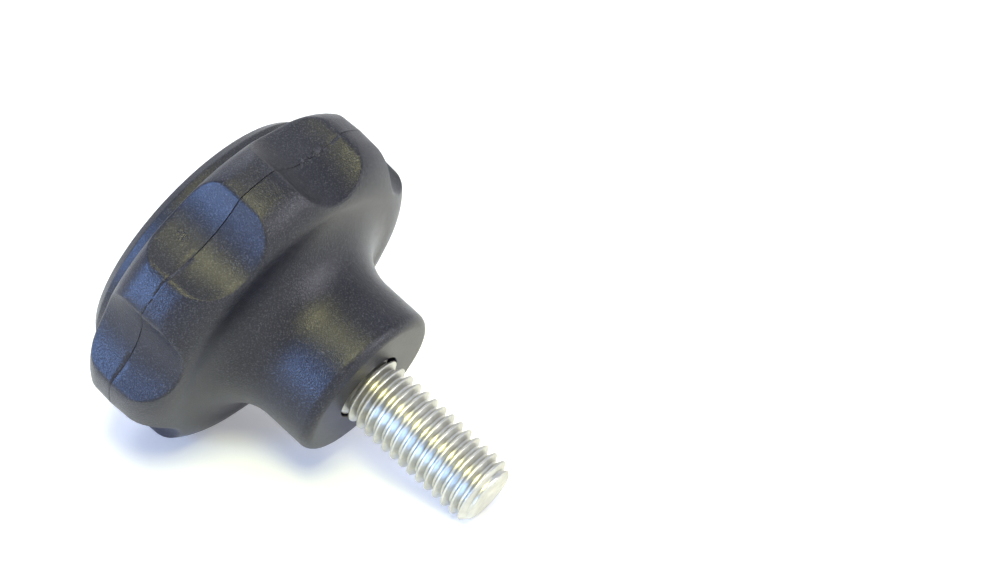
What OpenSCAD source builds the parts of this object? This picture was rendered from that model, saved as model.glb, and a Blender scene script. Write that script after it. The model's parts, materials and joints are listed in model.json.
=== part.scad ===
// Lobed hand knob with a threaded stud: a fluted moulded head on a round hub, a hexagon-head bolt whose
// threaded end stands out of the hub, and a pressed-in cap.
// It lies on its side, on two lobes and the stud's tip.

/* [Head] */
// Diameter over the lobes
head_d = 41.4; // [38:0.1:60]
// Number of lobes, each between two finger flutes
lobe_count = 8; // [6:1:10]
// Depth of a flute below the lobes
flute_depth = 2.5; // [1.5:0.1:3]
// Radius of a flute, seen along the axis
flute_r = 9.7; // [7:0.1:12]
// Radius of the soft edges between flutes and lobes
land_edge_r = 1.5; // [1:0.1:5]
// Draft angle of the lobes' walls on each side of the parting plane
draft = 3; // [0:0.5:5]
// Height of the parting plane above the hub's end face
parting_h = 18.5; // [17:0.1:21]
// Height of the rim above the parting plane
upper_h = 5.2; // [4.5:0.1:7]
// Straight lobe wall below the parting plane
lower_wall = 1.7; // [0.5:0.1:3]
// Radius of the lobes' lower edge
lower_round = 4.7; // [3.5:0.1:6]
// Radius of the rim's upper edge
upper_round = 3.5; // [2.5:0.1:3.6]

/* [Hub] */
// Diameter of the hub
hub_d = 19; // [18.5:0.5:24]
// Straight length of the hub, up to the fillet under the head
hub_h = 6.2; // [4:0.1:8]
// Radius of the hub's end edge
hub_edge_r = 1.3; // [0.4:0.1:3]

/* [Bolt] */
// Outer diameter of the thread
thread_d = 8; // [6:0.5:8.5]
// Length of the stud that stands out of the hub
stud_len = 17.8; // [12:0.1:40]
// Chamfer of the stud's tip
tip_chamfer = 0.9; // [0.3:0.1:1.5]
// Diameter of the plain shank inside the hub
shank_d = 7.2; // [5:0.1:7.6]
// Length of plain shank between the stud and the bolt's head
shank_len = 11.7; // [10:0.1:13]
// Width across the flats of the bolt's head
hex_af = 13; // [10:0.5:14]
// Height of the bolt's head
hex_h = 5.3; // [4:0.1:6.5]
// Gap round the thread in the hub's hole
bore_gap = 0.2; // [0.1:0.05:0.5]
// Gap round the bolt's head in its pocket
hex_gap = 0.1; // [0.05:0.05:0.3]

/* [Cap] */
// Least wall of the rim, between the flutes and the cap's recess
rim_wall = 1.2; // [0.8:0.1:2]
// Gap between the cap and the rim
cap_gap = 0.4; // [0.1:0.05:0.6]
// Height of the cap above the rim
cap_proud = 2.2; // [0.5:0.1:4]
// Width of the bevel round the cap's edge
bevel_w = 0.85; // [0.2:0.05:1.5]
// Height of that bevel
bevel_h = 0.95; // [0.2:0.05:1.5]
// Distance from the cap's edge to the ring groove in its face
groove_inset = 3.3; // [2:0.1:6]
// Width of the groove
groove_w = 0.9; // [0.3:0.05:1.5]
// Depth of the groove
groove_depth = 0.5; // [0.2:0.05:1]
// Depth of the recess that the cap sits in
seat_depth = 3; // [2:0.1:3.5]
// Width of the ledge under the cap's edge
ledge_w = 1.3; // [0.8:0.1:2]
// Thickness of the cap's plate
plate_t = 2.2; // [1.2:0.1:3]
// Depth of the plug ring under the cap
plug_depth = 2.5; // [1:0.1:3]
// Wall of the plug ring
plug_wall = 1.6; // [0.8:0.1:2.5]
// Gap between the plug ring and the wall round it
plug_gap = 0.05; // [0.02:0.01:0.2]

/* [Moulding] */
// Thickness of the head's floor under the cored recess
floor_t = 3; // [2:0.1:4]
// Wall round the bolt's pocket
pocket_wall = 2; // [1.2:0.1:3]

/* [Hidden] */
$fn = 120;
overrun = 1;

head_r = head_d / 2;
hub_r = hub_d / 2;
thread_r = thread_d / 2;
rim_h = parting_h + upper_h;
cap_top = rim_h + cap_proud;
seat_r = head_r - flute_depth - rim_wall;
seat_z = rim_h - seat_depth;
cap_r = seat_r - cap_gap;
groove_r = cap_r - groove_inset;
bore_r = thread_r + bore_gap;

// Flutes: round cutters on a circle about the axis
flute_axis_r = head_r - flute_depth + flute_r;
flute_step = 360 / lobe_count;
flute_centre = [flute_axis_r, 0];

// Soft edge of a lobe: an arc tangent to the flute, which runs out over the lobe at a small angle
runout_angle = 14;
edge_reach = head_r - land_edge_r * cos(runout_angle);
edge_turn = acos(
    (flute_axis_r ^ 2 + edge_reach ^ 2 - (flute_r + land_edge_r) ^ 2) / (2 * flute_axis_r * edge_reach)
);
edge_centre = edge_reach * [cos(edge_turn), sin(edge_turn)];
edge_start = flute_centre + flute_r * (edge_centre - flute_centre) / (flute_r + land_edge_r);
runout_turn = edge_turn - runout_angle;
edge_end = edge_centre + land_edge_r * [cos(runout_turn), sin(runout_turn)];
runout_end = edge_end + flute_r * [-sin(runout_turn), cos(runout_turn)];

// Outline of the lobes: drafted walls on both sides of the parting plane, with a round edge above and below
lower_end = [head_r - lower_wall * tan(draft), parting_h - lower_wall];
lower_centre = lower_end - lower_round * [cos(draft), -sin(draft)];
upper_wall = upper_h - upper_round * (1 - sin(draft));
upper_end = [head_r - upper_wall * tan(draft), parting_h + upper_wall];
upper_centre = upper_end - upper_round * [cos(draft), sin(draft)];

// Fillet between hub and head: tangent to the hub's wall and to the lobes' lower edge
fillet_run = lower_centre.x - hub_r;
fillet_rise = lower_centre.y - hub_h;
fillet_r = (fillet_run ^ 2 + fillet_rise ^ 2 - lower_round ^ 2) / (2 * (fillet_run + lower_round));
fillet_centre = [hub_r + fillet_r, hub_h];
fillet_end = fillet_centre
    + fillet_r * (lower_centre - fillet_centre) / (fillet_r + lower_round);

// Cored recess under the cap, and the column round the bolt's pocket
core_r = cap_r - ledge_w;
core_z = fillet_end.y + floor_t;
hex_r = hex_af / 2 / cos(30);
pocket_r = hex_r + hex_gap / cos(30);
column_r = pocket_r + pocket_wall;

// Rest on the side: a flute faces down, and the part leans until two lobes and the stud's tip touch
half_turn = 180;
lean_limit = 80;
settle_steps = 40;
nose = edge_centre + [land_edge_r, 0];
function edge_reach_at(r) =
    let (along = (r ^ 2 + edge_reach ^ 2 - land_edge_r ^ 2) / (2 * edge_reach))
    along * cos(edge_turn) + sqrt(r ^ 2 - along ^ 2) * sin(edge_turn);
function flute_reach_at(r) = (r ^ 2 + flute_axis_r ^ 2 - flute_r ^ 2) / (2 * flute_axis_r);
function lobe_reach(r) =
    r > norm(nose) ? nose.x
    : r > norm(edge_start) ? edge_reach_at(r)
    : flute_reach_at(r);
function edge_low(r, z, lean) = z * sin(lean) - lobe_reach(r) * cos(lean);
function lobe_low(lean) = min([
    for (turn = [0 : 90])
        edge_low(lower_centre.x + lower_round * cos(turn), lower_centre.y - lower_round * sin(turn), lean)
]);
function tip_low(lean) = -(stud_len - tip_chamfer) * sin(lean) - thread_r * cos(lean);
function settle(low, high, steps) =
    let (lean = (low + high) / 2)
    steps == 0 ? lean
    : tip_low(lean) > lobe_low(lean) ? settle(lean, high, steps - 1)
    : settle(low, lean, steps - 1);
lean = settle(0, lean_limit, settle_steps);
lift = -tip_low(lean);

// Middle of the lying part along X: from the cap's lower edge to the upper edge of the stud's tip
front_x = stud_len * cos(lean) + (thread_r - tip_chamfer) * sin(lean);
back_x = -max(
    cap_top * cos(lean) + (cap_r - bevel_w) * sin(lean),
    (cap_top - bevel_h) * cos(lean) + cap_r * sin(lean)
);
middle_x = (front_x + back_x) / 2;

module lying() {
    translate([-middle_x, 0, lift]) rotate([0, lean - 90, 0]) children();
}

module disc_at(centre, r) {
    translate(centre) circle(r);
}

module hub_profile() {
    square([hub_r - hub_edge_r, hub_h]);
    translate([0, hub_edge_r]) square([hub_r, hub_h - hub_edge_r]);
    disc_at([hub_r - hub_edge_r, hub_edge_r], hub_edge_r);
}

module fillet_profile() {
    difference() {
        polygon([[0, hub_h], [hub_r, hub_h], fillet_centre, fillet_end, [0, fillet_end.y]]);
        disc_at(fillet_centre, fillet_r);
    }
}

module lobe_profile() {
    polygon([
        [0, fillet_end.y], fillet_end, lower_centre, lower_end, [head_r, parting_h],
        upper_end, upper_centre, [upper_centre.x, rim_h], [0, rim_h]
    ]);
    disc_at(lower_centre, lower_round);
    disc_at(upper_centre, upper_round);
}

module soft_edge() {
    difference() {
        polygon([flute_centre, edge_start, edge_centre, edge_end, runout_end]);
        disc_at(edge_centre, land_edge_r);
    }
}

module flute_cutter() {
    translate([0, 0, hub_h]) linear_extrude(rim_h - hub_h + overrun) {
        disc_at(flute_centre, flute_r);
        soft_edge();
        mirror([0, 1]) soft_edge();
    }
}

module hexagon(r, h) {
    cylinder(h = h, r = r, $fn = 6);
}

module ring_cutter(inner_r, outer_r, h) {
    difference() {
        cylinder(h = h, r = outer_r);
        cylinder(h = h, r = inner_r);
    }
}

module knob_body() {
    color([0.21, 0.22, 0.25]) lying() difference() {
        rotate_extrude() {
            hub_profile();
            fillet_profile();
            lobe_profile();
        }
        for (i = [0 : lobe_count - 1]) rotate(half_turn + i * flute_step) flute_cutter();
        translate([0, 0, -overrun]) cylinder(h = shank_len + 2 * overrun, r = bore_r);
        translate([0, 0, shank_len]) hexagon(pocket_r, rim_h - shank_len);
        translate([0, 0, core_z]) ring_cutter(column_r, core_r, rim_h - core_z);
        translate([0, 0, seat_z]) cylinder(h = seat_depth + overrun, r = seat_r);
    }
}

module bolt() {
    color([0.78, 0.78, 0.76]) lying() {
        translate([0, 0, shank_len]) intersection() {
            hexagon(hex_r, hex_h);
            cylinder(h = hex_h, r1 = hex_r + hex_h, r2 = hex_af / 2);
        }
        cylinder(h = shank_len, r = shank_d / 2);
        translate([0, 0, tip_chamfer - stud_len]) cylinder(h = stud_len - tip_chamfer, r = thread_r);
        translate([0, 0, -stud_len]) cylinder(h = tip_chamfer, r1 = thread_r - tip_chamfer, r2 = thread_r);
    }
}

module cap_profile() {
    plug_r = core_r - plug_gap;
    plug_inner_r = plug_r - plug_wall;
    difference() {
        polygon([
            [0, cap_top - plate_t], [plug_inner_r, cap_top - plate_t],
            [plug_inner_r, seat_z - plug_depth], [plug_r, seat_z - plug_depth],
            [plug_r, seat_z], [cap_r, seat_z],
            [cap_r, cap_top - bevel_h], [cap_r - bevel_w, cap_top], [0, cap_top]
        ]);
        polygon([
            [groove_r - groove_w, cap_top], [groove_r - groove_w / 2, cap_top - groove_depth],
            [groove_r, cap_top], [groove_r, cap_top + overrun], [groove_r - groove_w, cap_top + overrun]
        ]);
    }
}

module cap() {
    color([0.19, 0.2, 0.23]) lying() rotate_extrude() cap_profile();
}

knob_body();
bolt();
cap();
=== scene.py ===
"""Looks of a lobed hand knob with a threaded stud, lying on its side on a white table."""
import json
import math

import bmesh
import bpy
import numpy as np
from mathutils import Matrix, Vector


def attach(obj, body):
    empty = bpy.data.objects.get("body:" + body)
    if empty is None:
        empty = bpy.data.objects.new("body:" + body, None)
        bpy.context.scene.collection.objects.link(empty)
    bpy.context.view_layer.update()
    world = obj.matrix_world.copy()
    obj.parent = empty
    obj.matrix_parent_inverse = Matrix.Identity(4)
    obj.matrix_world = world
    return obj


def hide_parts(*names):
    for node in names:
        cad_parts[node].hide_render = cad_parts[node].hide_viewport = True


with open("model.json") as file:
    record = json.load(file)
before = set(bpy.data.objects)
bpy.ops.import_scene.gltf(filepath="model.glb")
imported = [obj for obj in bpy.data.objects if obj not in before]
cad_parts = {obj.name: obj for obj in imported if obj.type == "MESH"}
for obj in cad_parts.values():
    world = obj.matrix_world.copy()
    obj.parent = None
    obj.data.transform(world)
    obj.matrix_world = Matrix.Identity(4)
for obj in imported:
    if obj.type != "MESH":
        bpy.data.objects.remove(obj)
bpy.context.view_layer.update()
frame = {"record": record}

# Sizes are in millimetres and angles in degrees. The pieces are made in the knob's own frame.
# Its axis is Z, from the hub's end face (0) up to the cap, and a flute lies on -X, which faces the table.
MM = 0.001

# Meshes: points nearer than MERGE become one, and edges that bend by more than SHARP_ANGLE stay sharp.
# The innermost rings of the cap and of the bolt's head lie at CENTRE_R.
MERGE = 0.0005
SHARP_ANGLE = 50
COLUMNS_PER_LOBE = 72
CAP_COLUMNS = 256
BOLT_COLUMNS = 120
CENTRE_R = 1

# Head
HEAD_R = 20.7
LOBE_COUNT = 8
FLUTE_DEPTH = 2.5
FLUTE_R = 9.7
LAND_EDGE_R = 1.5
RUNOUT_ANGLE = 14
RUNOUT_SOFT = 0.25
DRAFT = 3
FLUTE_DRAFT_LOWER = 7
FLUTE_DRAFT_UPPER = 1.5
PARTING_H = 18.5
UPPER_H = 5.2
LOWER_WALL = 1.7
LOWER_ROUND = 4.7
UPPER_ROUND = 3.5
CREASE = 0.3

# Parting line: a fine seam all round the lobes, with small nibs of flash on it
SEAM_W = 0.14
SEAM_DEPTH = 0.12
SEAM_WAVE_SHARE = 0.25
SEAM_FINE_WAVES = 5
SEAM_BROAD_WAVES = 2
SEAM_PHASE_RADIANS = 1
NIB_H = 0.26
NIB_SPREAD = 0.4
NIB_ANGLES = (1, 8, 118, 203, 291)

# Hub
HUB_R = 9.5
HUB_H = 6.2
HUB_EDGE_R = 1.3
BORE_R = 4.2
BORE_EDGE = 0.2

# Inside of the head
RIM_H = PARTING_H + UPPER_H
SEAT_R = 17
SEAT_EDGE = 0.15
SEAT_DEPTH = 3
SEAT_Z = RIM_H - SEAT_DEPTH
CORE_R = 15.3
CORE_Z = 15.35
COLUMN_R = 9.62
POCKET_FLAT = 6.6
POCKET_Z = 11.7

# Bolt: a coarse metric thread, a plain shank and a hexagon head
THREAD_R = 4
PITCH = 1.25
THREAD_DEPTH = 0.767
THREAD_PHASE = -0.3
CREST_SHARE = 0.15
ROOT_SHARE = 0.2
CREST_ROW_SHARES = (0.7, 1, 1.5)
ROOT_ROW_SHARES = (-0.03, 0, 0.04)
SOFTEN_SHARES = (0.12, 0.76, 0.12)
STUD_LEN = 17.8
TIP_CHAMFER = 0.9
TIP_EDGE = 0.12
THREAD_TOP = 1.6
THREAD_RUNOUT = 0.7
SHANK_R = 3.6
HEX_FLAT = 6.5
HEX_H = 5.3
HEX_CHAMFER = 0.5

# Cap
CAP_R = 16.6
CAP_PROUD = 2.2
CAP_TOP = RIM_H + CAP_PROUD
BEVEL_W = 0.85
BEVEL_H = 0.95
GROOVE_R = 13.3
GROOVE_W = 0.9
GROOVE_DEPTH = 0.5
PLATE_T = 2.2
PLUG_R = 15.25
PLUG_INNER_R = 13.65
PLUG_DEPTH = 2.5
CAP_EDGE = 0.15

# Plastic: colours, and the size, depth and strength of its grain
PLASTIC_DARK = (0.004, 0.0042, 0.008)
PLASTIC_MID = (0.01, 0.0105, 0.018)
PLASTIC_LIGHT = (0.065, 0.066, 0.088)
PLASTIC_STOPS = (0.3, 0.52, 0.72)
PLASTIC_SHEEN = (0.88, 0.88, 1.0, 1)
PLASTIC_SPECULAR = 0.44
PLASTIC_ROUGH = (0.27, 0.33)
CAP_SHADE = 0.92
GRAIN_SIZE = 0.17
GRAIN_DEPTH = 0.054
PEBBLE_SIZE = 0.32
PEBBLE_DEPTH = 0.012
PEBBLE_STRENGTH = 0.8
CLOUD_SIZE = 9

# Zinc plating: colours, and the size, depth and strength of its marks
ZINC_DULL = (0.48, 0.475, 0.45)
ZINC_PLAIN = (0.6, 0.595, 0.565)
ZINC_BRIGHT = (0.7, 0.695, 0.665)
ZINC_STOPS = (0.3, 0.55, 0.75)
ZINC_ROUGH = (0.4, 0.3)
STAIN_SIZE = 1.6
SCRATCH_SIZE = 0.18
SCRATCH_DEPTH = 0.01
SCRATCH_STRENGTH = 0.35

# Noise: its values lie mostly between NOISE_LOW and NOISE_HIGH
NOISE_LOW = 0.3
NOISE_HIGH = 0.7
NOISE_ROUGHNESS = 0.6

# Surroundings, table and lamps
AMBIENT = (0.83, 0.9, 1.18)
AMBIENT_STRENGTH = 0.32
HORIZON = (1, 1, 1)
OVERHEAD = (0.72, 0.77, 0.88)
SKY_STOPS = (0.2, 0.6)
TABLE_COLOUR = (0.92, 0.93, 0.98)
TABLE_LIFT = 0.3
TABLE_REACH = 3000
LAMP_AIM_H = 18

# Camera: fitted to the photograph's outline
CAMERA_AZIMUTH = 34.7
CAMERA_ELEVATION = 29.0
CAMERA_ROLL = 1.17
CAMERA_DISTANCE = 340
CAMERA_LENS = 99.4
CAMERA_SENSOR = 36
AIM_FROM_HUB_X = -12.65
AIM_Y = 42.66


def knob_to_frame():
    """Matrix from the knob's own millimetres to the frame's metres, from the record's stud mount."""
    stud = next(m for m in frame["record"]["mounts"] if m["name"] == "stud")
    axis_z = -Vector(stud["axis"]).normalized()
    axis_y = Vector((0, 1, 0))
    axis_x = axis_y.cross(axis_z)
    turn = Matrix((axis_x, axis_y, axis_z)).transposed().to_4x4()
    return Matrix.Translation(Vector(stud["pos_m"])) @ turn @ Matrix.Scale(MM, 4)


KNOB = knob_to_frame()


def smooth_min(a, b, soft):
    """Lesser of two values, blended where they differ by less than soft."""
    near = np.maximum(soft - np.abs(a - b), 0) / soft
    return np.minimum(a, b) - near * near * soft / 4


def lobed_radius(turn):
    """Radius of the lobed outline at the parting plane: flute arc, edge arc, straight run and lobe."""
    step = math.tau / LOBE_COUNT
    off = np.abs((turn + step / 2) % step - step / 2)
    runout = math.radians(RUNOUT_ANGLE)

    # Centres of the flute arc and of the edge arc, which touch at the start of the edge
    flute_x = HEAD_R - FLUTE_DEPTH + FLUTE_R
    reach = HEAD_R - LAND_EDGE_R * math.cos(runout)
    join = FLUTE_R + LAND_EDGE_R
    edge_turn = math.acos((flute_x ** 2 + reach ** 2 - join ** 2) / (2 * flute_x * reach))
    start_x = flute_x + FLUTE_R * (reach * math.cos(edge_turn) - flute_x) / join
    start_y = FLUTE_R * reach * math.sin(edge_turn) / join
    start_turn = math.atan2(start_y, start_x)

    # Straight run from the end of the edge arc out to the lobe
    line_turn = edge_turn - runout
    line_reach = reach * math.cos(runout) + LAND_EDGE_R
    end_x = reach * math.cos(edge_turn) + LAND_EDGE_R * math.cos(line_turn)
    end_y = reach * math.sin(edge_turn) + LAND_EDGE_R * math.sin(line_turn)
    end_turn = math.atan2(end_y, end_x)

    flute = flute_x * np.cos(off) - np.sqrt(np.maximum(FLUTE_R ** 2 - (flute_x * np.sin(off)) ** 2, 0))
    side = reach * np.sin(off - edge_turn)
    edge = reach * np.cos(off - edge_turn) + np.sqrt(np.maximum(LAND_EDGE_R ** 2 - side ** 2, 0))
    line = line_reach / np.cos(off - line_turn)
    outline = np.where(off < start_turn, flute, np.where(off < end_turn, edge, line))
    return smooth_min(outline, HEAD_R, RUNOUT_SOFT)


class Section:
    """Rows of radius and height, one value for each angle round the axis."""

    def __init__(self, columns):
        self.turn = np.linspace(0, math.tau, columns, endpoint=False)
        self.one = np.ones(columns)
        self.radius = []
        self.height = []

    def add(self, radius, height):
        """One new row."""
        self.radius.append(radius * self.one)
        self.height.append(height * self.one)

    def arc(self, centre, radius, start, end, steps):
        """Rows along an arc, without its first point. Angles are in radians from the radius direction."""
        for k in range(1, steps + 1):
            angle = start + (end - start) * k / steps
            self.add(centre[0] + radius * np.cos(angle), centre[1] + radius * np.sin(angle))

    def line(self, radius, height, steps):
        """Rows in even steps from the last row to a new one."""
        first_r, first_h = self.radius[-1], self.height[-1]
        for k in range(1, steps + 1):
            share = k / steps
            self.add(first_r + (radius - first_r) * share, first_h + (height - first_h) * share)

    def bend(self, corner_r, corner_h, radius, height, steps=4):
        """Rows on a soft bend from the last row towards a corner and on to a new row."""
        first_r, first_h = self.radius[-1], self.height[-1]
        for k in range(1, steps + 1):
            t = k / steps
            a, b, c = (1 - t) ** 2, 2 * t * (1 - t), t * t
            self.add(a * first_r + b * corner_r + c * radius, a * first_h + b * corner_h + c * height)

    def corner(self, point, towards, size):
        """A straight run to just before a corner, then a soft bend of that size round it."""
        last = np.array([self.radius[-1].mean(), self.height[-1].mean()])
        point, towards = np.array(point, float), np.array(towards, float)
        before = point + size * (last - point) / np.linalg.norm(last - point)
        after = point + size * (towards - point) / np.linalg.norm(towards - point)
        self.line(before[0], before[1], steps=2)
        self.bend(point[0], point[1], after[0], after[1])

    def path(self, points, size):
        """Straight runs through the points, with a soft bend at each one but the last."""
        for here, there in zip(points, points[1:]):
            self.corner(here, there, size)
        self.line(points[-1][0], points[-1][1], steps=2)

    def points(self):
        """Points of all rows, row by row."""
        radius = np.array(self.radius)
        height = np.array(self.height)
        stack = (radius * np.cos(self.turn), radius * np.sin(self.turn), height)
        return np.stack(stack, axis=-1).reshape(-1, 3)


def mesh_piece(name, points, faces, material):
    """New mesh object from points in the knob's frame."""
    mesh = bpy.data.meshes.new(name)
    mesh.from_pydata([tuple(p) for p in points], [], faces)
    work = bmesh.new()
    work.from_mesh(mesh)
    bmesh.ops.remove_doubles(work, verts=work.verts, dist=MERGE)
    bmesh.ops.dissolve_degenerate(work, edges=work.edges, dist=MERGE)
    bmesh.ops.recalc_face_normals(work, faces=work.faces)
    work.to_mesh(mesh)
    work.free()
    mesh.transform(KNOB)
    mesh.polygons.foreach_set("use_smooth", [True] * len(mesh.polygons))
    mesh.set_sharp_from_angle(angle=math.radians(SHARP_ANGLE))
    mesh.materials.append(material)
    piece = bpy.data.objects.new(name, mesh)
    bpy.context.scene.collection.objects.link(piece)
    return piece


def ring_faces(onward, columns, closed):
    """Quads between neighbouring rows. Onward gives, for each row, the row it joins after a full turn."""
    rows = len(onward)
    faces = []
    for row in range(rows if closed else rows - 1):
        above = (row + 1) % rows
        low, high = row * columns, above * columns
        for k in range(columns - 1):
            faces.append((low + k, low + k + 1, high + k + 1, high + k))
        end = columns - 1
        faces.append((low + end, onward[row] * columns, onward[above] * columns, high + end))
    return faces


def lathe(name, section, onward, material):
    """Closed piece from a section whose first and last rows are filled in to the axis."""
    columns = len(section.turn)
    points = list(section.points())
    rows = len(section.radius)
    faces = ring_faces(onward, columns, closed=False)
    for row, flip in ((0, True), (rows - 1, False)):
        ring = [row * columns + k for k in range(columns)]
        middle = len(points)
        points.append(np.array([0, 0, section.height[row][0]]))
        for k in range(columns):
            pair = (ring[k], ring[(k + 1) % columns])
            faces.append((pair[1], pair[0], middle) if flip else (pair[0], pair[1], middle))
    return mesh_piece(name, points, faces, material)


def hexagon_radius(turn, flat):
    """Radius of a hexagon with corners on the X axis and that half width across flats."""
    step = math.tau / 6
    return flat / np.cos((turn % step) - step / 2)


def seam_dip(turn):
    """How far the seam dips below the wall, less where a nib of flash stands on it."""
    wave = np.sin(SEAM_FINE_WAVES * turn + SEAM_PHASE_RADIANS) * np.sin(SEAM_BROAD_WAVES * turn)
    dip = SEAM_DEPTH * (1 - SEAM_WAVE_SHARE + SEAM_WAVE_SHARE * wave)
    for angle in NIB_ANGLES:
        off = (turn - math.radians(angle) + math.pi) % math.tau - math.pi
        dip = dip - NIB_H * np.exp(-(off * HEAD_R / NIB_SPREAD) ** 2)
    return dip


def wall_draft(outline, flute_angle):
    """Draft of the wall in radians: DRAFT on the lobes, and flute_angle in the middle of a flute."""
    draft = math.radians(DRAFT)
    share = (HEAD_R - outline) / FLUTE_DEPTH
    return draft + (math.radians(flute_angle) - draft) * share


def round_centres():
    """Centres, as radius and height, of the round edges under and over the lobes."""
    draft = math.radians(DRAFT)
    low_r = HEAD_R - LOWER_WALL * math.tan(draft) - LOWER_ROUND * math.cos(draft)
    low_z = PARTING_H - LOWER_WALL + LOWER_ROUND * math.sin(draft)
    upper_wall = UPPER_H - UPPER_ROUND * (1 - math.sin(draft))
    high_r = HEAD_R - upper_wall * math.tan(draft) - UPPER_ROUND * math.cos(draft)
    high_z = RIM_H - UPPER_ROUND
    return (low_r, low_z), (high_r, high_z)


def hub_rows(section, low):
    """Bore, hub face, hub and fillet. Returns the angle where the round edge under the lobes starts."""
    run, rise = low[0] - HUB_R, low[1] - HUB_H
    fillet_r = (run ** 2 + rise ** 2 - LOWER_ROUND ** 2) / (2 * (run + LOWER_ROUND))
    fillet = (HUB_R + fillet_r, HUB_H)
    fillet_turn = math.atan2(low[1] - fillet[1], low[0] - fillet[0])
    section.add(BORE_R, POCKET_Z)
    section.path([(BORE_R, 0), (HUB_R - HUB_EDGE_R, 0)], BORE_EDGE)
    section.arc((HUB_R - HUB_EDGE_R, HUB_EDGE_R), HUB_EDGE_R, -math.pi / 2, 0, steps=8)
    section.line(HUB_R, HUB_H, steps=5)
    section.arc(fillet, fillet_r, math.pi, fillet_turn, steps=16)
    return fillet_turn - math.pi


def lower_rows(section, outline, low, start):
    """Round edge under the lobes, the crease where a flute cuts it, and the wall up to the seam."""
    draft = wall_draft(outline, FLUTE_DRAFT_LOWER)
    reach = outline * np.cos(draft) - PARTING_H * np.sin(draft)
    reach = reach - low[0] * np.cos(draft) + low[1] * np.sin(draft)
    cut = -draft - np.arccos(np.clip(reach / LOWER_ROUND, -1, 1))
    section.arc(low, LOWER_ROUND, start, cut - CREASE / LOWER_ROUND, steps=14)
    cut_r = low[0] + LOWER_ROUND * np.cos(cut)
    cut_z = low[1] + LOWER_ROUND * np.sin(cut)
    section.bend(cut_r, cut_z, cut_r + CREASE * np.sin(draft), cut_z + CREASE * np.cos(draft))
    section.line(outline - SEAM_W / 2 * np.tan(draft), PARTING_H - SEAM_W / 2, steps=9)


def upper_rows(section, outline, high):
    """Wall above the seam, the crease where a flute cuts the round edge, and that edge up to the rim."""
    draft = wall_draft(outline, FLUTE_DRAFT_UPPER)
    section.add(outline - SEAM_W / 2 * np.tan(draft), PARTING_H + SEAM_W / 2)
    reach = outline * np.cos(draft) + PARTING_H * np.sin(draft)
    reach = reach - high[0] * np.cos(draft) - high[1] * np.sin(draft)
    cut = draft + np.arccos(np.clip(reach / UPPER_ROUND, -1, 1))
    cut_r = high[0] + UPPER_ROUND * np.cos(cut)
    cut_z = high[1] + UPPER_ROUND * np.sin(cut)
    section.line(cut_r + CREASE * np.sin(draft), cut_z - CREASE * np.cos(draft), steps=7)
    over = cut + CREASE / UPPER_ROUND
    section.bend(cut_r, cut_z, high[0] + UPPER_ROUND * np.cos(over), high[1] + UPPER_ROUND * np.sin(over))
    section.arc(high, UPPER_ROUND, over, math.pi / 2, steps=8)


def recess_rows(section):
    """Rim, cap seat, cored recess, column and the bolt's pocket."""
    pocket = hexagon_radius(section.turn, POCKET_FLAT)
    section.path([
        (SEAT_R, RIM_H), (SEAT_R, SEAT_Z), (CORE_R, SEAT_Z), (CORE_R, CORE_Z),
        (COLUMN_R, CORE_Z), (COLUMN_R, SEAT_Z), (COLUMN_R - SEAT_EDGE, SEAT_Z)
    ], SEAT_EDGE / 2)
    section.line(pocket, SEAT_Z, steps=1)
    section.line(pocket, POCKET_Z, steps=2)


def build_body(material):
    """Moulded body, as one closed section turned round the axis."""
    section = Section(LOBE_COUNT * COLUMNS_PER_LOBE)
    outline = lobed_radius(section.turn)
    low, high = round_centres()
    start = hub_rows(section, low)
    lower_rows(section, outline, low, start)
    section.add(outline - seam_dip(section.turn), PARTING_H)
    upper_rows(section, outline, high)
    recess_rows(section)
    faces = ring_faces(range(len(section.radius)), len(section.turn), closed=True)
    return mesh_piece("knob_body_skin", section.points(), faces, material)


def build_cap(material):
    """Pressed-in disc with a bevel, a groove on top and a plug ring below."""
    section = Section(CAP_COLUMNS)
    plug_z = SEAT_Z - PLUG_DEPTH
    section.add(CENTRE_R, CAP_TOP - PLATE_T)
    section.path([
        (PLUG_INNER_R, CAP_TOP - PLATE_T), (PLUG_INNER_R, plug_z), (PLUG_R, plug_z), (PLUG_R, SEAT_Z),
        (CAP_R, SEAT_Z), (CAP_R, CAP_TOP - BEVEL_H), (CAP_R - BEVEL_W, CAP_TOP),
        (GROOVE_R, CAP_TOP), (GROOVE_R - GROOVE_W / 2, CAP_TOP - GROOVE_DEPTH),
        (GROOVE_R - GROOVE_W, CAP_TOP), (CENTRE_R, CAP_TOP)
    ], CAP_EDGE)
    return lathe("cap_disc", section, range(len(section.radius)), material)


def thread_profile(share):
    """Depth below the crest over one pitch, from 0 at the crest's middle to 1 at the root's middle."""
    flank = (1 - CREST_SHARE - ROOT_SHARE) / 2
    off = np.abs((share + 0.5) % 1 - 0.5)
    return np.clip((off - CREST_SHARE / 2) / flank, 0, 1)


def thread_knots():
    """Places of a pitch where the rows of a thread lie: close together round crest and root."""
    crest, root = CREST_SHARE / 2, 0.5 - ROOT_SHARE / 2
    near_crest = [crest * share for share in CREST_ROW_SHARES]
    near_root = [root + share for share in ROOT_ROW_SHARES]
    half = [0] + near_crest + [(crest + root) / 2] + near_root
    return half + [0.5] + [1 - k for k in reversed(half[1:])]


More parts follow.
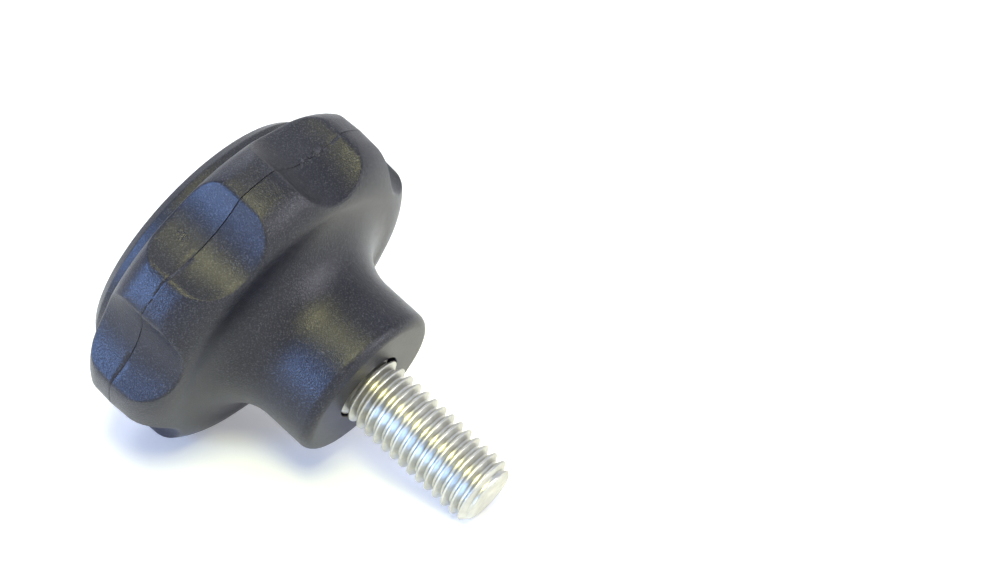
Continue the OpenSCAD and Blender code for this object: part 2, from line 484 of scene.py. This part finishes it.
def thread_rows(section):
    """Rows of the thread, which climb one pitch for each turn and end at the tip and in the hub."""
    climb = section.turn / math.tau
    knots = thread_knots()
    depths = thread_profile(np.array(knots)) * THREAD_DEPTH
    soft = np.convolve(np.concatenate([depths[-1:], depths, depths[:1]]), SOFTEN_SHARES, "valid")
    first = math.floor(-STUD_LEN / PITCH) - 2
    last = math.ceil(THREAD_TOP / PITCH) + 1
    tip_z = TIP_CHAMFER - STUD_LEN
    end_z = TIP_EDGE - STUD_LEN
    end_r = THREAD_R - TIP_CHAMFER + TIP_EDGE
    for turn_number in range(first, last):
        for knot, depth in zip(knots, soft):
            z = (turn_number + knot + climb + THREAD_PHASE) * PITCH
            fade = np.clip((THREAD_TOP - z) / THREAD_RUNOUT, 0, 1)
            radius = SHANK_R + (THREAD_R - depth - SHANK_R) * fade
            radius = smooth_min(radius, THREAD_R - np.maximum(tip_z - z, 0), TIP_EDGE)
            radius = np.where(z < end_z, end_r, radius)
            section.add(radius, np.clip(z, end_z, THREAD_TOP))


def build_bolt(material):
    """Threaded stud, shank and hexagon head. Each row of the thread runs on into the next turn's row."""
    section = Section(BOLT_COLUMNS)
    tip_r = THREAD_R - TIP_CHAMFER
    hexagon = hexagon_radius(section.turn, HEX_FLAT)
    hex_top = POCKET_Z + HEX_H
    section.add(tip_r / 2, -STUD_LEN)
    section.line(tip_r - TIP_EDGE, -STUD_LEN, steps=2)
    thread_start = len(section.radius)
    thread_rows(section)
    thread_end = len(section.radius)
    section.line(SHANK_R, POCKET_Z, steps=3)
    section.line(hexagon, POCKET_Z, steps=2)
    section.line(hexagon, hex_top - HEX_CHAMFER, steps=2)
    section.line(np.minimum(hexagon, HEX_FLAT), hex_top, steps=1)
    section.line(CENTRE_R, hex_top, steps=2)
    onward = list(range(len(section.radius)))
    for row in range(thread_start, thread_end):
        onward[row] = min(row + len(thread_knots()), thread_end - 1)
    return lathe("bolt_thread", section, onward, material)


def node(tree, kind, **values):
    """New shader node with its sockets set by name."""
    made = tree.nodes.new("ShaderNode" + kind)
    for name, value in values.items():
        made.inputs[name.replace("_", " ")].default_value = value
    return made


def noise(tree, place, size, detail):
    """Noise of that size in millimetres."""
    made = node(tree, "TexNoise", Scale=1 / (size * MM), Detail=detail, Roughness=NOISE_ROUGHNESS)
    tree.links.new(place.outputs["Object"], made.inputs["Vector"])
    return made.outputs[0]


def ramp(tree, source, stops, colours):
    """Colour ramp over a value, with one colour at each stop."""
    made = node(tree, "ValToRGB")
    elements = made.color_ramp.elements
    pairs = list(zip(stops, colours))
    for element, (stop, colour) in zip(elements, (pairs[0], pairs[-1])):
        element.position = stop
        element.color = (*colour, 1)
    for stop, colour in pairs[1:-1]:
        elements.new(stop).color = (*colour, 1)
    tree.links.new(source, made.inputs["Fac"])
    return made.outputs["Color"]


def span(tree, source, low, high):
    """Value from low to high as a noise goes from its low to its high values."""
    made = node(tree, "MapRange", From_Min=NOISE_LOW, From_Max=NOISE_HIGH, To_Min=low, To_Max=high)
    tree.links.new(source, made.inputs["Value"])
    return made.outputs[0]


def new_material(name):
    """New material, its node tree and its shader."""
    material = bpy.data.materials.new(name)
    material.use_nodes = True
    return material, material.node_tree, material.node_tree.nodes["Principled BSDF"]


def bumped(tree, shader, layers):
    """Adds bump layers to a shader. Each layer is a texture, its depth in millimetres and its strength."""
    last = None
    for texture, depth, strength in layers:
        bump = node(tree, "Bump", Strength=strength, Distance=depth * MM)
        tree.links.new(texture, bump.inputs["Height"])
        if last:
            tree.links.new(last.outputs["Normal"], bump.inputs["Normal"])
        last = bump
    tree.links.new(last.outputs["Normal"], shader.inputs["Normal"])


def moulded_plastic(name, shade):
    """Black plastic with the fine sparkling grain of a spark-eroded mould. Shade scales its colours."""
    material, tree, shader = new_material(name)
    place = node(tree, "TexCoord")
    grain = noise(tree, place, GRAIN_SIZE, detail=3)
    pebble = noise(tree, place, PEBBLE_SIZE, detail=1)
    cloud = noise(tree, place, CLOUD_SIZE, detail=3)
    tones = [tuple(shade * part for part in tone) for tone in (PLASTIC_DARK, PLASTIC_MID, PLASTIC_LIGHT)]
    tree.links.new(ramp(tree, grain, PLASTIC_STOPS, tones), shader.inputs["Base Color"])
    tree.links.new(span(tree, cloud, *PLASTIC_ROUGH), shader.inputs["Roughness"])
    shader.inputs["Specular IOR Level"].default_value = PLASTIC_SPECULAR
    shader.inputs["Specular Tint"].default_value = PLASTIC_SHEEN
    bumped(tree, shader, [(pebble, PEBBLE_DEPTH, PEBBLE_STRENGTH), (grain, GRAIN_DEPTH, 1)])
    return material


def zinc_steel(name):
    """Bright zinc plating with faint rolling marks and small stains."""
    material, tree, shader = new_material(name)
    place = node(tree, "TexCoord")
    stain = noise(tree, place, STAIN_SIZE, detail=4)
    scratch = noise(tree, place, SCRATCH_SIZE, detail=3)
    tones = (ZINC_DULL, ZINC_PLAIN, ZINC_BRIGHT)
    tree.links.new(ramp(tree, stain, ZINC_STOPS, tones), shader.inputs["Base Color"])
    tree.links.new(span(tree, stain, *ZINC_ROUGH), shader.inputs["Roughness"])
    shader.inputs["Metallic"].default_value = 1
    bumped(tree, shader, [(scratch, SCRATCH_DEPTH, SCRATCH_STRENGTH)])
    return material


def seen_straight(tree):
    """Value 1 for camera, glossy and transmission rays and 0 for the rest."""
    path = node(tree, "LightPath")
    last = path.outputs["Is Camera Ray"]
    for name in ("Is Glossy Ray", "Is Transmission Ray"):
        most = node(tree, "Math")
        most.operation = "MAXIMUM"
        tree.links.new(last, most.inputs[0])
        tree.links.new(path.outputs[name], most.inputs[1])
        last = most.outputs[0]
    return last


def build_world():
    """White background, dimmer overhead, for the eye and reflections, and a soft light on surfaces."""
    world = bpy.data.worlds.new("studio")
    bpy.context.scene.world = world
    world.use_nodes = True
    tree = world.node_tree
    soft = tree.nodes["Background"]
    soft.inputs["Color"].default_value = (*AMBIENT, 1)
    soft.inputs["Strength"].default_value = AMBIENT_STRENGTH
    white = node(tree, "Background", Strength=1)
    place = node(tree, "TexCoord")
    split = node(tree, "SeparateXYZ")
    tree.links.new(place.outputs["Generated"], split.inputs[0])
    sky = ramp(tree, split.outputs["Z"], SKY_STOPS, (HORIZON, OVERHEAD))
    tree.links.new(sky, white.inputs["Color"])
    mix = node(tree, "MixShader")
    tree.links.new(seen_straight(tree), mix.inputs["Fac"])
    tree.links.new(soft.outputs[0], mix.inputs[1])
    tree.links.new(white.outputs[0], mix.inputs[2])
    tree.links.new(mix.outputs[0], tree.nodes["World Output"].inputs["Surface"])


def build_table():
    """White table that keeps the knob's shadow and looks white to the eye."""
    reach = TABLE_REACH * MM
    mesh = bpy.data.meshes.new("table")
    corners = [(-reach, -reach, 0), (reach, -reach, 0), (reach, reach, 0), (-reach, reach, 0)]
    mesh.from_pydata(corners, [], [(0, 1, 2, 3)])
    material, tree, shader = new_material("white_table")
    tree.nodes.remove(shader)
    paper = node(tree, "BsdfDiffuse", Color=(*TABLE_COLOUR, 1))
    lift = node(tree, "Emission", Color=(1, 1, 1, 1))
    scale = node(tree, "Math")
    scale.operation = "MULTIPLY"
    scale.inputs[1].default_value = TABLE_LIFT
    add = node(tree, "AddShader")
    tree.links.new(seen_straight(tree), scale.inputs[0])
    tree.links.new(scale.outputs[0], lift.inputs["Strength"])
    tree.links.new(paper.outputs[0], add.inputs[0])
    tree.links.new(lift.outputs[0], add.inputs[1])
    tree.links.new(add.outputs[0], tree.nodes["Material Output"].inputs["Surface"])
    mesh.materials.append(material)
    table = bpy.data.objects.new("table", mesh)
    bpy.context.scene.collection.objects.link(table)


def direction(azimuth, elevation):
    """Unit vector out from the knob. Azimuth 0 is -Y and 90 is +X."""
    a, e = math.radians(azimuth), math.radians(elevation)
    return Vector((math.sin(a) * math.cos(e), -math.cos(a) * math.cos(e), math.sin(e)))


def lamp(name, azimuth, elevation, distance, width, height, watts, colour):
    """Soft rectangular lamp aimed at the knob."""
    data = bpy.data.lights.new(name, "AREA")
    data.shape = "RECTANGLE"
    data.size = width * MM
    data.size_y = height * MM
    data.energy = watts
    data.color = colour
    made = bpy.data.objects.new(name, data)
    aim = Vector((0, 0, LAMP_AIM_H * MM))
    made.location = aim + distance * MM * direction(azimuth, elevation)
    made.rotation_euler = (aim - made.location).to_track_quat("-Z", "Y").to_euler()
    bpy.context.scene.collection.objects.link(made)


def build_lamps():
    """A warm lamp, a pale panel behind, a low blue window and a panel at the side."""
    lamp("warm_lamp", azimuth=39, elevation=56, distance=900, width=210, height=360,
         watts=6, colour=(1.0, 0.95, 0.38))
    lamp("sky_panel", azimuth=-130, elevation=55, distance=1000, width=700, height=700,
         watts=3.4, colour=(0.97, 0.98, 1.0))
    lamp("window", azimuth=-31, elevation=9, distance=900, width=300, height=550,
         watts=11.5, colour=(0.27, 0.5, 1.0))
    lamp("side_panel", azimuth=104, elevation=19, distance=900, width=240, height=240,
         watts=3.4, colour=(1.0, 0.99, 0.97))


def build_camera():
    """Camera that sees the knob as the photograph does."""
    data = bpy.data.cameras.new("camera")
    data.sensor_width = CAMERA_SENSOR
    data.lens = CAMERA_LENS
    camera = bpy.data.objects.new("camera", data)
    hub_x = KNOB.translation.x
    aim = Vector((hub_x + AIM_FROM_HUB_X * MM, AIM_Y * MM, 0))
    back = direction(CAMERA_AZIMUTH, CAMERA_ELEVATION)
    right = Vector((0, 0, 1)).cross(back).normalized()
    up = back.cross(right)
    roll = math.radians(CAMERA_ROLL)
    rolled_right = right * math.cos(roll) + up * math.sin(roll)
    rolled_up = up * math.cos(roll) - right * math.sin(roll)
    turn = Matrix((rolled_right, rolled_up, back)).transposed().to_4x4()
    camera.matrix_world = Matrix.Translation(aim + back * CAMERA_DISTANCE * MM) @ turn
    bpy.context.scene.collection.objects.link(camera)
    bpy.context.scene.camera = camera


def dress(piece, cad_node):
    """Lets a piece stand for its CAD node."""
    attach(piece, "root")
    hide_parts(cad_node)


bpy.context.scene.view_settings.view_transform = "Standard"
build_camera()
body_plastic = moulded_plastic("body_plastic", shade=1)
cap_plastic = moulded_plastic("cap_plastic", shade=CAP_SHADE)
dress(build_body(body_plastic), "knob_body")
dress(build_cap(cap_plastic), "cap")
dress(build_bolt(zinc_steel("zinc_steel")), "bolt")
build_world()
build_table()
build_lamps()
